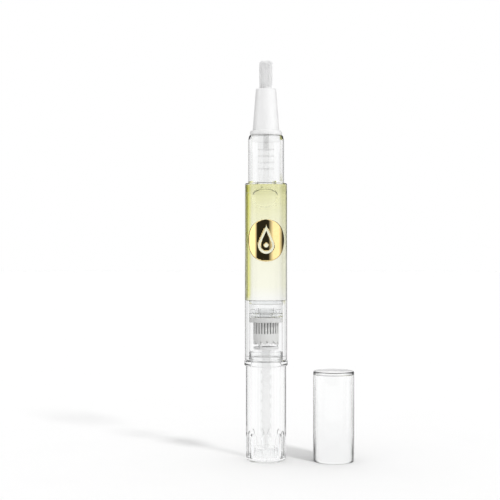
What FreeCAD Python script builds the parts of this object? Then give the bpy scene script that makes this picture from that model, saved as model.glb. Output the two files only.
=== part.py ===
import FreeCAD, Part
import os
import re
import Sketcher
from FreeCAD import Vector

# Twist pen for nail oil, standing upright on the foot of its knob.
# Axis of the pen is Z, the foot is at height 0, the badge faces -Y, lengths are in mm.
SIZES = {
    # Knob, the clear part that is twisted
    "knob_step": 0.325,
    "knob_wall": 1.45,
    "knob_floor": 1.0,
    "grip_height": 29.2,
    "foot_round": 0.7,
    "collar_step": 0.5,
    "collar_height": 1.5,
    "collar_round": 0.3,
    "flute_count": 9,
    "flute_depth": 0.35,
    "flute_cutter": 7.0,
    "flute_base": 1.1,
    "flute_height": 5.6,
    "spigot_length": 3.0,
    "snap_offset": 0.6,
    "snap_height": 0.6,
    "snap_depth": 0.15,
    "boss_wall": 0.7,
    "boss_height": 3.0,
    "key_width": 1.0,
    "key_height": 2.0,
    # Barrel
    "barrel_radius": 6.5,
    "barrel_wall": 1.25,
    "barrel_length": 54.3,
    "barrel_chamfer": 0.15,
    # Neck, the collar that plugs the barrel
    "neck_step": 0.31,
    "neck_tip_step": 0.31,
    "neck_taper": 1.5,
    "neck_height": 14.7,
    "neck_wall": 1.05,
    "neck_plug": 2.8,
    "neck_plug_wall": 0.8,
    "neck_floor": 1.0,
    "neck_floor_drop": 0.4,
    # Brush holder
    "flange_step": 0.62,
    "flange_height": 1.5,
    "cone_step": 0.82,
    "cone_draft": 0.99,
    "cone_height": 13.0,
    "holder_plug": 2.0,
    "stem_radius": 2.4,
    "ring_height": 0.5,
    "ring_bulge": 0.2,
    "ring_first": 4.1,
    "ring_pitch": 1.95,
    "tuft_socket": 9.5,
    # Feed tube and bristles
    "feed_radius": 0.9,
    "feed_wall": 0.4,
    "feed_length": 14.0,
    "feed_rise": 5.0,
    "tuft_root_radius": 1.95,
    "tuft_radius": 2.22,
    "bristle_length": 8.7,
    "tuft_round": 0.9,
    # Gold badge on the barrel
    "badge_height": 36.7,
    "badge_half_height": 6.4,
    "badge_half_width": 5.42,
    "badge_thickness": 0.05,
    # Drive nut, fixed in the barrel
    "nut_seat": 6.2,
    "nut_band_step": 0.05,
    "nut_band_height": 2.0,
    "nut_rib_depth": 0.38,
    "nut_rib_height": 3.5,
    "nut_rib_width": 0.5,
    "nut_rib_count": 28,
    "nut_flange_height": 1.4,
    "tooth_count": 12,
    "tooth_height": 1.25,
    "tooth_length": 1.5,
    "tooth_width": 0.8,
    # Ratchet ring
    "pawl_gap": 0.1,
    "pawl_rise": 0.65,
    "pawl_count": 3,
    "pawl_sweep": 80.0,
    "pawl_width": 0.5,
    "pawl_slot": 0.25,
    "ratchet_width": 1.2,
    "ratchet_thickness": 0.8,
    # Drive sleeve
    "sleeve_radius": 2.65,
    "sleeve_flat": 2.1,
    "sleeve_disc_height": 0.8,
    "driver_length": 5.0,
    # Screw rod
    "rod_root": 1.2,
    "rod_crest": 1.6,
    "rod_flat": 1.05,
    "rod_lead": 3.0,
    "ridge_foot": 1.0,
    "ridge_top": 0.5,
    "rod_tail": 2.5,
    "rod_head_radius": 2.1,
    "rod_head_height": 2.0,
    # Piston
    "piston_rest": 0.3,
    "piston_height": 4.95,
    "piston_dish": 1.5,
    "piston_lip": 1.1,
    "piston_waist": 0.25,
    "piston_rim": 0.6,
    "piston_hollow": 2.2,
    "piston_skirt": 0.9,
    "socket_wall": 1.2,
    "socket_lip": 0.5,
    "socket_mouth": 1.6,
    # Cap, standing beside the pen
    "cap_height": 27.6,
    "cap_wall": 0.68,
    "cap_top": 0.9,
    "cap_round": 0.4,
    "cap_mouth": 0.35,
    "cap_offset_x": 20.8,
    "cap_offset_y": -1.2,
    # Clearances
    "collar_gap": 0.3,
    "running_gap": 0.06,
    "slide_gap": 0.03,
    "seat_gap": 0.02,
    "fit_gap": 0.04,
    "thread_gap": 0.15,
    "head_play": 0.1,
    "cap_gap": 0.04,
}

# Radii and heights that follow from the sizes.
BORE = "(barrel_radius - barrel_wall)"
BARREL_BASE = "(grip_height + collar_height + collar_gap)"
BARREL_TOP = f"({BARREL_BASE} + barrel_length)"
NECK_TOP = f"({BARREL_TOP} + neck_height)"
FLANGE_TOP = f"({NECK_TOP} + flange_height)"
CONE_TOP = f"({FLANGE_TOP} + cone_height)"
NECK_FOOT = f"({BARREL_TOP} - neck_plug)"
NECK_FLOOR = f"({BARREL_TOP} - neck_floor_drop)"
NECK_PLUG_BORE = f"({BORE} - fit_gap - neck_plug_wall)"
NECK_RADIUS = f"({BORE} + neck_step)"
NECK_BORE = f"({NECK_RADIUS} - neck_wall)"
FLANGE_RADIUS = f"({NECK_RADIUS} - flange_step)"
CONE_RADIUS = f"({FLANGE_RADIUS} - cone_step)"
KNOB_RADIUS = "(barrel_radius - knob_step)"
KNOB_BORE = f"({KNOB_RADIUS} - knob_wall)"
SPIGOT_RADIUS = f"({BORE} - running_gap)"
COLLAR_TOP = "(grip_height + collar_height)"
COLLAR_RADIUS = f"({KNOB_RADIUS} + collar_step)"
SNAP_BASE = f"({BARREL_BASE} + snap_offset)"
NUT_BASE = f"({BARREL_BASE} + nut_seat)"
TOOTH_TIP = f"({NUT_BASE} - tooth_height)"
RIB_BASE = f"({NUT_BASE} + nut_band_height)"
RIB_TOP = f"({RIB_BASE} + nut_rib_height)"
NUT_TOP = f"({RIB_TOP} + nut_flange_height)"
NUT_BORE = "(rod_root + thread_gap)"
NUT_FLANGE = f"({BORE} - seat_gap)"
RATCHET_TOP = f"({TOOTH_TIP} - pawl_gap - pawl_rise)"
RATCHET_BASE = f"({RATCHET_TOP} - ratchet_thickness)"
RATCHET_RADIUS = "(sleeve_radius + ratchet_width)"
TOOTH_RADIUS = f"({RATCHET_RADIUS} + fit_gap)"
TOOTH_INSIDE = f"({TOOTH_RADIUS} - tooth_width)"
NUT_BAND = f"({TOOTH_RADIUS} + nut_band_step)"
RIB_ROOT = f"({NUT_BAND} - nut_rib_depth)"
PISTON_BASE = f"({NUT_TOP} + piston_rest)"
PISTON_TOP = f"({PISTON_BASE} + piston_height)"
PISTON_RADIUS = f"({BORE} - slide_gap)"
SOCKET_RADIUS = "(rod_head_radius + head_play)"
HEAD_BASE = f"({PISTON_BASE} + socket_lip + head_play)"
HEAD_TOP = f"({HEAD_BASE} + rod_head_height)"
ROD_TAIL = "(knob_floor + rod_tail)"
THREAD_BASE = f"({ROD_TAIL} + ridge_foot)"
THREAD_RISE = f"({NUT_TOP} - {THREAD_BASE} - ridge_foot)"
SLEEVE_BORE = "(rod_crest + thread_gap)"
TUFT_BASE = f"({CONE_TOP} - tuft_socket)"
FEED_HOLE = "(feed_radius + fit_gap)"
FEED_BASE = f"({TUFT_BASE} + feed_rise - feed_length)"

doc = FreeCAD.newDocument("nail_oil_pen")
sheet = doc.addObject("Spreadsheet::Sheet", "sizes")
for row, (alias, value) in enumerate(SIZES.items(), start=1):
    sheet.set(f"A{row}", alias)
    sheet.set(f"B{row}", str(value))
    sheet.setAlias(f"B{row}", alias)
doc.recompute()


def bound(text):
    """The text with every size name pointing at its cell."""
    return re.sub(r"[a-z_]+", lambda word: "sizes." + word[0] if word[0] in SIZES else word[0], text)


def value_of(text):
    """The number that a text of size names gives."""
    return float(sheet.evalExpression(bound(text)))


def drive(thing, **texts):
    """Bind properties of an object to texts of size names."""
    for name, text in texts.items():
        thing.setExpression(name.replace("__", "."), bound(text))


def new_body(label):
    return doc.addObject("PartDesign::Body", label)


def sketch_on(body, role, name):
    sketch = body.newObject("Sketcher::SketchObject", name)
    plane = next(f for f in body.Origin.OriginFeatures if f.Role == role)
    sketch.AttachmentSupport = [(plane, "")]
    sketch.MapMode = "FlatFace"
    return sketch


def pin_point(sketch, line, across, up):
    """Hold the start of a line at two distances from the sketch's origin."""
    if across == "0":
        sketch.addConstraint(Sketcher.Constraint("PointOnObject", line, 1, -2))
    else:
        index = sketch.addConstraint(Sketcher.Constraint("DistanceX", -1, 1, line, 1, value_of(across)))
        sketch.setExpression(f"Constraints[{index}]", bound(across))
    if up == "0":
        sketch.addConstraint(Sketcher.Constraint("PointOnObject", line, 1, -1))
    else:
        index = sketch.addConstraint(Sketcher.Constraint("DistanceY", -1, 1, line, 1, value_of(up)))
        sketch.setExpression(f"Constraints[{index}]", bound(up))


def draw_loop(sketch, corners):
    """A closed loop of straight lines, each corner held by two bound distances."""
    spots = [Vector(value_of(across), value_of(up), 0) for across, up in corners]
    first = sketch.GeometryCount
    for start, end in zip(spots, spots[1:] + spots[:1]):
        sketch.addGeometry(Part.LineSegment(start, end))
    count = len(corners)
    for i in range(count):
        joint = Sketcher.Constraint("Coincident", first + i, 2, first + (i + 1) % count, 1)
        sketch.addConstraint(joint)
    for i, (across, up) in enumerate(corners):
        pin_point(sketch, first + i, across, up)


def turn(body, corners):
    """Turn an outline of radius and height about Z."""
    sketch = sketch_on(body, "XZ_Plane", body.Name + "_outline")
    draw_loop(sketch, corners)
    feature = body.newObject("PartDesign::Revolution", body.Name + "_turned")
    feature.Profile = sketch
    feature.ReferenceAxis = (sketch, ["V_Axis"])
    feature.Angle = 360
    doc.recompute()
    return feature


def prism(body, kind, name, loops, base, height):
    """Pad or pocket of loops drawn flat at a height, reaching upward."""
    sketch = sketch_on(body, "XY_Plane", name + "_outline")
    drive(sketch, AttachmentOffset__Base__z=base)
    for loop in loops:
        draw_loop(sketch, loop)
    feature = body.newObject("PartDesign::" + kind, name)
    feature.Profile = sketch
    drive(feature, Length=height)
    feature.Reversed = kind == "Pocket"
    doc.recompute()
    return feature


def box_loop(low_x, high_x, low_y, high_y):
    return [(low_x, low_y), (high_x, low_y), (high_x, high_y), (low_x, high_y)]


def flats_loops(half, reach):
    """Two boxes on either side of a pair of flats that face Y."""
    upper = box_loop(f"-({reach})", reach, half, reach)
    lower = box_loop(f"-({reach})", reach, f"-({reach})", f"-({half})")
    return [upper, lower]


def repeat_about_axis(body, features, name, count):
    pattern = body.newObject("PartDesign::PolarPattern", name)
    pattern.Originals = features
    axis = next(f for f in body.Origin.OriginFeatures if f.Role == "Z_Axis")
    pattern.Axis = (axis, [""])
    pattern.Angle = 360
    drive(pattern, Occurrences=count)
    body.Tip = pattern
    doc.recompute()
    return pattern


def round_rim(body, name, radius, height, size):
    """Round the circular edge of a given radius at a given height."""
    base = body.Tip
    names = []
    for number, edge in enumerate(base.Shape.Edges, start=1):
        if not isinstance(edge.Curve, Part.Circle):
            continue
        same_radius = abs(edge.Curve.Radius - value_of(radius)) < 1e-4
        if same_radius and abs(edge.Curve.Center.z - value_of(height)) < 1e-4:
            names.append(f"Edge{number}")
    feature = body.newObject("PartDesign::Fillet", name)
    feature.Base = (base, names)
    drive(feature, Radius=size)
    doc.recompute()
    return feature


def thread(body, kind, rise, inner, outer, inner_half, outer_half):
    """Single right-hand thread of trapezoid section, in step for rod and nut."""
    sketch = sketch_on(body, "XZ_Plane", body.Name + "_ridge")
    section = [
        (inner, f"{THREAD_BASE} - ({inner_half})"),
        (outer, f"{THREAD_BASE} - ({outer_half})"),
        (outer, f"{THREAD_BASE} + ({outer_half})"),
        (inner, f"{THREAD_BASE} + ({inner_half})"),
    ]
    draw_loop(sketch, section)
    doc.recompute()
    helix = body.newObject("PartDesign::" + kind, body.Name + "_thread")
    helix.Profile = sketch
    helix.ReferenceAxis = (sketch, ["V_Axis"])
    helix.Mode = 0
    drive(helix, Pitch="rod_lead", Height=rise)
    doc.recompute()
    return helix


def solid_cylinder(name, radius, base, height, angle=None, start=None):
    """Cylinder or sector standing at a height on the axis."""
    thing = doc.addObject("Part::Cylinder", name)
    drive(thing, Radius=radius, Height=height, Placement__Base__z=base)
    if angle:
        drive(thing, Angle=angle)
    if start:
        thing.Placement.Rotation = FreeCAD.Rotation(Vector(0, 0, 1), 0)
        drive(thing, Placement__Rotation__Angle=start)
    return thing


def cut(name, base, tool):
    thing = doc.addObject("Part::Cut", name)
    thing.Base = base
    thing.Tool = tool
    return thing


def fuse(name, things):
    thing = doc.addObject("Part::MultiFuse", name)
    thing.Shapes = things
    return thing


# Knob: clear cup with a round foot, grip flutes, a collar under the barrel and a snap-in spigot.
# A boss and a cross key on its floor hold the drive sleeve.
boss_bore = "(sleeve_radius + fit_gap)"
boss_radius = f"({boss_bore} + boss_wall)"
spigot_top = f"({COLLAR_TOP} + spigot_length)"
knob = new_body("knob")
turn(knob, [
    ("0", "0"),
    (KNOB_RADIUS, "0"),
    (KNOB_RADIUS, "grip_height"),
    (COLLAR_RADIUS, "grip_height"),
    (COLLAR_RADIUS, COLLAR_TOP),
    (SPIGOT_RADIUS, COLLAR_TOP),
    (SPIGOT_RADIUS, SNAP_BASE),
    (f"{SPIGOT_RADIUS} + snap_depth", SNAP_BASE),
    (SPIGOT_RADIUS, f"{SNAP_BASE} + snap_height"),
    (SPIGOT_RADIUS, spigot_top),
    (KNOB_BORE, spigot_top),
    (KNOB_BORE, "knob_floor"),
    (boss_radius, "knob_floor"),
    (boss_radius, "knob_floor + boss_height"),
    (boss_bore, "knob_floor + boss_height"),
    (boss_bore, "knob_floor"),
    ("0", "knob_floor"),
])
key_reach = f"({boss_bore} + boss_wall / 2)"
key = box_loop(f"-{key_reach}", key_reach, "-key_width / 2", "key_width / 2")
prism(knob, "Pad", "knob_key", [key], "knob_floor", "key_height")
round_rim(knob, "knob_foot_round", KNOB_RADIUS, "0", "foot_round")
round_rim(knob, "knob_collar_round", COLLAR_RADIUS, "grip_height", "collar_round")

# Each flute is the mark of an upright round-nosed cutter that stands outside the knob.
cutter_place = {
    "Placement__Base__y": f"-({KNOB_RADIUS} - flute_depth + flute_cutter)",
    "Radius": "flute_cutter",
}
cutter_shank = knob.newObject("PartDesign::SubtractiveCylinder", "flute_shank")
drive(cutter_shank, Height="flute_height", Placement__Base__z="flute_base", **cutter_place)
doc.recompute()
cutter_nose = knob.newObject("PartDesign::SubtractiveSphere", "flute_nose")
cutter_nose.Angle1 = 0
drive(cutter_nose, Placement__Base__z="flute_base + flute_height", **cutter_place)
doc.recompute()
repeat_about_axis(knob, [cutter_shank, cutter_nose], "knob_flutes", "flute_count")

# Barrel: clear tube with a chamfered front and a groove for the bead of the knob.
groove_radius = f"({BORE} + snap_depth)"
groove_top = f"({SNAP_BASE} + snap_height + running_gap)"
barrel = new_body("barrel")
turn(barrel, [
    (BORE, BARREL_BASE),
    ("barrel_radius", BARREL_BASE),
    ("barrel_radius", f"{BARREL_TOP} - barrel_chamfer"),
    ("barrel_radius - barrel_chamfer", BARREL_TOP),
    (BORE, BARREL_TOP),
    (BORE, groove_top),
    (groove_radius, f"{groove_top} - running_gap"),
    (groove_radius, f"{SNAP_BASE} - running_gap"),
    (BORE, f"{SNAP_BASE} - running_gap"),
])

# Neck: clear collar with a plug skirt in the barrel and a floor that the stem passes.
stem_hole = "(stem_radius + fit_gap)"
neck = new_body("neck")
turn(neck, [
    (NECK_PLUG_BORE, NECK_FOOT),
    (f"{BORE} - fit_gap", NECK_FOOT),
    (f"{BORE} - fit_gap", BARREL_TOP),
    (NECK_RADIUS, BARREL_TOP),
    (NECK_RADIUS, f"{NECK_TOP} - neck_taper"),
    (f"{NECK_RADIUS} - neck_tip_step", NECK_TOP),
    (NECK_BORE, NECK_TOP),
    (NECK_BORE, f"{NECK_FLOOR} + neck_floor"),
    (stem_hole, f"{NECK_FLOOR} + neck_floor"),
    (stem_hole, NECK_FLOOR),
    (NECK_PLUG_BORE, NECK_FLOOR),
])

# Brush holder: hollow stem with sealing rings, plug and flange on the neck, cone round the bristles.
plug_base = f"({NECK_TOP} - holder_plug)"
plug_radius = f"({NECK_BORE} - fit_gap)"
stem_side = [("stem_radius", NECK_FLOOR)]
for step in (3, 2, 1, 0):
    ring_top = f"({NECK_TOP} - ring_first - {step} * ring_pitch)"
    stem_side += [
        ("stem_radius", f"{ring_top} - ring_height"),
        ("stem_radius + ring_bulge", f"{ring_top} - ring_height / 2"),
        ("stem_radius", ring_top),
    ]
brush_holder = new_body("brush_holder")
turn(brush_holder, [
    (FEED_HOLE, NECK_FLOOR),
    *stem_side,
    ("stem_radius", plug_base),
    (plug_radius, plug_base),
    (plug_radius, NECK_TOP),
    (FLANGE_RADIUS, NECK_TOP),
    (FLANGE_RADIUS, FLANGE_TOP),
    (CONE_RADIUS, FLANGE_TOP),
    (f"{CONE_RADIUS} - cone_draft", CONE_TOP),
    ("tuft_root_radius + fit_gap", CONE_TOP),
    ("tuft_root_radius + fit_gap", TUFT_BASE),
    (FEED_HOLE, TUFT_BASE),
])

# Feed tube: capillary that stands in the stem and ends among the bristles.
feed_tube = new_body("feed_tube")
turn(feed_tube, [
    ("feed_radius - feed_wall", FEED_BASE),
    ("feed_radius", FEED_BASE),
    ("feed_radius", f"{TUFT_BASE} + feed_rise"),
    ("feed_radius - feed_wall", f"{TUFT_BASE} + feed_rise"),
])

# Bristle tuft: bound root in the cone, fuller above it, with a rounded end.
tuft_top = f"({CONE_TOP} + bristle_length)"
bristle_tuft = new_body("bristle_tuft")
turn(bristle_tuft, [
    (FEED_HOLE, f"{TUFT_BASE} + seat_gap"),
    ("tuft_root_radius", f"{TUFT_BASE} + seat_gap"),
    ("tuft_root_radius", CONE_TOP),
    ("tuft_radius", f"{CONE_TOP} + tuft_round"),
    ("tuft_radius", tuft_top),
    ("0", tuft_top),
    ("0", f"{TUFT_BASE} + feed_rise + head_play"),
    (FEED_HOLE, f"{TUFT_BASE} + feed_rise + head_play"),
])
round_rim(bristle_tuft, "tuft_end_round", "tuft_radius", tuft_top, "tuft_round")

# Gold badge: thin oval of foil bent round the front of the barrel.
foil_inner = "(barrel_radius + seat_gap)"
badge_centre = f"({BARREL_BASE} + badge_height)"
badge_foot = f"({badge_centre} - badge_half_height)"
foil_reach = "(2 * badge_half_height)"
foil_outside = solid_cylinder("foil_outside", f"{foil_inner} + badge_thickness", badge_foot, foil_reach)
foil_inside = solid_cylinder("foil_inside", foil_inner, badge_foot, foil_reach)
foil_sleeve = cut("foil_sleeve", foil_outside, foil_inside)
oval = doc.addObject("Part::Ellipse", "badge_oval")
drive(oval, MajorRadius="badge_half_height", MinorRadius="badge_half_width", Placement__Base__z=badge_centre)
oval.Placement.Rotation = FreeCAD.Rotation(Vector(0, 0, 1), Vector(1, 0, 0), Vector(0, -1, 0), "ZXY")
badge_bar = doc.addObject("Part::Extrusion", "badge_bar")
badge_bar.Base = oval
badge_bar.DirMode = "Custom"
badge_bar.Dir = Vector(0, -1, 0)
badge_bar.Solid = True
drive(badge_bar, LengthFwd="2 * barrel_radius")
foil_badge = doc.addObject("Part::Common", "foil_badge")
foil_badge.Base = foil_sleeve
foil_badge.Tool = badge_bar
doc.recompute()

# Drive nut: flange pressed in the barrel, ribbed body and band below it, thread inside, ratchet teeth.
drive_nut = new_body("drive_nut")
turn(drive_nut, [
    (NUT_BORE, NUT_BASE),
    (TOOTH_INSIDE, NUT_BASE),
    (TOOTH_INSIDE, TOOTH_TIP),
    (TOOTH_RADIUS, TOOTH_TIP),
    (TOOTH_RADIUS, NUT_BASE),
    (NUT_BAND, NUT_BASE),
    (NUT_BAND, RIB_BASE),
    (RIB_ROOT, RIB_BASE),
    (RIB_ROOT, RIB_TOP),
    (NUT_FLANGE, RIB_TOP),
    (NUT_FLANGE, NUT_TOP),
    (NUT_BORE, NUT_TOP),
])
ridge_half_at = "(ridge_foot / 2 - ({radius} - rod_root) * (ridge_foot - ridge_top) / (rod_crest - rod_root) / 2)"
groove_low = f"({NUT_BORE} - seat_gap)"
groove_high = "(rod_crest + thread_gap)"
thread(
    drive_nut, "SubtractiveHelix", f"{THREAD_RISE} + rod_lead", groove_low, groove_high,
    ridge_half_at.format(radius=groove_low) + " + thread_gap",
    ridge_half_at.format(radius=groove_high) + " + thread_gap",
)
rib = box_loop(f"{RIB_ROOT} - seat_gap", f"{NUT_BAND} - seat_gap", "-nut_rib_width / 2", "nut_rib_width / 2")
nut_rib = prism(drive_nut, "Pad", "nut_rib", [rib], RIB_BASE, "nut_rib_height")
repeat_about_axis(drive_nut, [nut_rib], "nut_ribs", "nut_rib_count")
gap_sketch = sketch_on(drive_nut, "YZ_Plane", "tooth_gap_outline")
draw_loop(gap_sketch, [
    ("0", f"{TOOTH_TIP} - seat_gap"),
    ("tooth_length", f"{TOOTH_TIP} - seat_gap"),
    ("0", NUT_BASE),
])
tooth_gap = drive_nut.newObject("PartDesign::Pocket", "tooth_gap")
tooth_gap.Profile = gap_sketch
tooth_gap.Reversed = True
drive(tooth_gap, Length="barrel_radius")
doc.recompute()
repeat_about_axis(drive_nut, [tooth_gap], "nut_teeth", "tooth_count")

# Screw rod: right-hand thread on two sides of a flattened shank, and a round head for the piston.
screw_rod = new_body("screw_rod")
turn(screw_rod, [
    ("0", ROD_TAIL),
    ("rod_root", ROD_TAIL),
    ("rod_root", HEAD_BASE),
    ("0", HEAD_BASE),
])
ridge_root = "(rod_root - seat_gap)"
thread(
    screw_rod, "AdditiveHelix", THREAD_RISE, ridge_root, "rod_crest",
    ridge_half_at.format(radius=ridge_root), "ridge_top / 2",
)
rod_sides = flats_loops("rod_flat", "2 * rod_crest")
prism(screw_rod, "Pocket", "rod_flats", rod_sides, ROD_TAIL, f"{HEAD_BASE} - {ROD_TAIL}")
head_sketch = sketch_on(screw_rod, "XZ_Plane", "rod_head_outline")
draw_loop(head_sketch, [
    ("0", HEAD_BASE),
    ("rod_head_radius", HEAD_BASE),
    ("rod_head_radius", f"{HEAD_TOP} - rod_head_height / 4"),
    ("rod_head_radius - rod_head_height / 4", HEAD_TOP),
    ("0", HEAD_TOP),
])
rod_head = screw_rod.newObject("PartDesign::Revolution", "rod_head")
rod_head.Profile = head_sketch
rod_head.ReferenceAxis = (head_sketch, ["V_Axis"])
rod_head.Angle = 360
doc.recompute()

# Drive sleeve: tube that stands on the knob's floor, keyed to it below, with a centring disc
# in the knob's spigot and a flattened bore at the top that turns the rod.
disc_top = f"({COLLAR_TOP} + sleeve_disc_height)"
sleeve_base = "(knob_floor + seat_gap)"
drive_sleeve = new_body("drive_sleeve")
turn(drive_sleeve, [
    (SLEEVE_BORE, sleeve_base),
    ("sleeve_radius", sleeve_base),
    ("sleeve_radius", COLLAR_TOP),
    (f"{KNOB_BORE} - fit_gap", COLLAR_TOP),
    (f"{KNOB_BORE} - fit_gap", disc_top),
    ("sleeve_radius", disc_top),
    ("sleeve_radius", RATCHET_TOP),
    (SLEEVE_BORE, RATCHET_TOP),
])
key_slot = box_loop("-2 * sleeve_radius", "2 * sleeve_radius", "-key_width / 2 - fit_gap", "key_width / 2 + fit_gap")
prism(drive_sleeve, "Pocket", "sleeve_slot", [key_slot], "0", "knob_floor + key_height + fit_gap")
driver_reach = f"({SLEEVE_BORE} + seat_gap)"
driver_half = "(rod_flat + head_play)"
driver_chord = f"sqrt({driver_reach}^2 - {driver_half}^2)"
upper_pad = box_loop(f"-({driver_chord})", driver_chord, driver_half, driver_reach)
lower_pad = box_loop(f"-({driver_chord})", driver_chord, f"-{driver_reach}", f"-{driver_half}")
driver_base = f"{RATCHET_TOP} - driver_length"
prism(drive_sleeve, "Pad", "sleeve_driver", [upper_pad, lower_pad], driver_base, "driver_length")
sleeve_sides = flats_loops("sleeve_flat", "2 * sleeve_radius")
prism(drive_sleeve, "Pocket", "sleeve_tenon", sleeve_sides, RATCHET_BASE, "2 * ratchet_thickness")

# Ratchet ring: plate on the sleeve's tenon with sprung arms that carry pawls under the teeth.
ring_plate = solid_cylinder("ring_plate", RATCHET_RADIUS, RATCHET_BASE, "ratchet_thickness")
tenon_round = solid_cylinder(
    "tenon_round", "sleeve_radius + fit_gap", f"{RATCHET_BASE} - seat_gap", "2 * ratchet_thickness"
)
tenon_flats = doc.addObject("Part::Box", "tenon_flats")
drive(
    tenon_flats,
    Length="4 * sleeve_radius",
    Width="2 * (sleeve_flat + fit_gap)",
    Height="4 * ratchet_thickness",
    Placement__Base__x="-2 * sleeve_radius",
    Placement__Base__y="-(sleeve_flat + fit_gap)",
    Placement__Base__z=f"{RATCHET_BASE} - ratchet_thickness",
)
tenon_hole = doc.addObject("Part::Common", "tenon_hole")
tenon_hole.Base = tenon_round
tenon_hole.Tool = tenon_flats
arm_inner = f"({RATCHET_RADIUS} - pawl_width)"
slot_inner = f"({arm_inner} - pawl_slot)"
ring_cuts = [tenon_hole]
pawls = []
for number in range(int(SIZES["pawl_count"])):
    spin = FreeCAD.Rotation(Vector(0, 0, 1), 360.0 * number / SIZES["pawl_count"])
    slot = cut(
        f"arm_slot_{number}",
        solid_cylinder(f"arm_slot_out_{number}", arm_inner, RATCHET_BASE, "ratchet_thickness", "pawl_sweep"),
        solid_cylinder(f"arm_slot_in_{number}", slot_inner, RATCHET_BASE, "ratchet_thickness"),
    )
    slot.Placement.Rotation = spin
    slit = doc.addObject("Part::Box", f"arm_slit_{number}")
    drive(slit, Length="2 * pawl_width + pawl_slot", Width="pawl_slot", Height="ratchet_thickness")
    slit_place = Vector(value_of(slot_inner), -value_of("pawl_slot"), value_of(RATCHET_BASE))
    slit.Placement = FreeCAD.Placement(spin.multVec(slit_place), spin)
    ring_cuts += [slot, slit]
    pawl = doc.addObject("Part::Wedge", f"pawl_{number}")
    pawl.Xmin = pawl.X2min = pawl.Ymin = pawl.Zmin = pawl.Z2min = 0
    drive(
        pawl,
        Xmax="pawl_width * 0.8",
        X2max="pawl_width * 0.8",
        Ymax="pawl_width * 1.4",
        Zmax="pawl_rise + ratchet_thickness / 2",
        Z2max="ratchet_thickness / 2 + seat_gap",
    )
    pawl_foot = Vector(value_of(arm_inner), 0, value_of(RATCHET_TOP) - value_of("ratchet_thickness / 2"))
    pawl.Placement = FreeCAD.Placement(spin.multVec(pawl_foot), spin)
    pawls.append(pawl)
ring_blank = cut("ring_blank", ring_plate, fuse("ring_cuts", ring_cuts))
ratchet_ring = fuse("ratchet_ring", [ring_blank, *pawls])
doc.recompute()

# Piston: dished crown, two sealing lips, hollow underside and a socket that the rod's head turns in.
socket_top = f"({HEAD_TOP} + head_play)"
socket_outside = f"({SOCKET_RADIUS} + socket_wall)"
skirt_inside = f"({PISTON_RADIUS} - piston_skirt)"
waist_radius = f"({PISTON_RADIUS} - piston_waist)"
piston = new_body("piston")
turn(piston, [
    ("0", socket_top),
    (SOCKET_RADIUS, socket_top),
    (SOCKET_RADIUS, f"{PISTON_BASE} + socket_lip"),
    ("socket_mouth", f"{PISTON_BASE} + socket_lip"),
    ("socket_mouth", PISTON_BASE),
    (socket_outside, PISTON_BASE),
    (socket_outside, f"{PISTON_BASE} + piston_hollow"),
    (skirt_inside, f"{PISTON_BASE} + piston_hollow"),
    (skirt_inside, PISTON_BASE),
    (PISTON_RADIUS, PISTON_BASE),
    (PISTON_RADIUS, f"{PISTON_BASE} + piston_lip"),
    (waist_radius, f"{PISTON_BASE} + piston_lip"),
    (waist_radius, f"{PISTON_TOP} - piston_lip"),
    (PISTON_RADIUS, f"{PISTON_TOP} - piston_lip"),
    (PISTON_RADIUS, PISTON_TOP),
    (f"{PISTON_RADIUS} - piston_rim", PISTON_TOP),
    ("0", f"{PISTON_TOP} - piston_dish"),
])

# Oil: fills the barrel from the dish of the piston to the floor of the neck.
oil_fill = new_body("oil_fill")
turn(oil_fill, [
    ("0", f"{PISTON_TOP} - piston_dish + seat_gap"),
    (f"{PISTON_RADIUS} - piston_rim", f"{PISTON_TOP} + seat_gap"),
    (f"{BORE} - seat_gap", f"{PISTON_TOP} + seat_gap"),
    (f"{BORE} - seat_gap", f"{NECK_FOOT} - seat_gap"),
    (f"{NECK_PLUG_BORE} - seat_gap", f"{NECK_FOOT} - seat_gap"),
    (f"{NECK_PLUG_BORE} - seat_gap", f"{NECK_FLOOR} - seat_gap"),
    ("0", f"{NECK_FLOOR} - seat_gap"),
])

# Cap: clear cup, mouth down, that pushes onto the end of the neck.
cap_bore = f"({NECK_RADIUS} + cap_gap)"
cap_radius = f"({cap_bore} + cap_wall)"
cap = new_body("cap")
turn(cap, [
    (f"{cap_bore} + cap_mouth", "0"),
    (cap_radius, "0"),
    (cap_radius, "cap_height"),
    ("0", "cap_height"),
    ("0", "cap_height - cap_top"),
    (cap_bore, "cap_height - cap_top"),
    (cap_bore, "2 * cap_mouth"),
])
round_rim(cap, "cap_top_round", cap_radius, "cap_height", "cap_round")
drive(cap, Placement__Base__x="cap_offset_x", Placement__Base__y="cap_offset_y")
doc.recompute()

pieces = [
    knob, barrel, neck, brush_holder, feed_tube, bristle_tuft, foil_badge, drive_nut, screw_rod,
    drive_sleeve, ratchet_ring, piston, oil_fill, cap,
]
for thing in doc.Objects:
    if "Invalid" in thing.State or "Error" in thing.State:
        raise RuntimeError(f"{thing.Label} did not compute: {thing.State}")
os.makedirs("parts", exist_ok=True)
for piece in pieces:
    shape = piece.Shape
    if shape.isNull() or not shape.isValid() or not shape.Solids:
        raise RuntimeError(f"{piece.Label} has no valid solid")
    shape.exportStep(f"parts/{piece.Label}.step")
    box = shape.BoundBox
    print(f"{piece.Label:14s} solids {len(shape.Solids)} volume {shape.Volume:9.3f} z {box.ZMin:.2f} to {box.ZMax:.2f}")
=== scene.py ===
import math
import random

import bmesh
import bpy
from mathutils import Matrix, Vector
from mathutils.geometry import delaunay_2d_cdt


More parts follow.
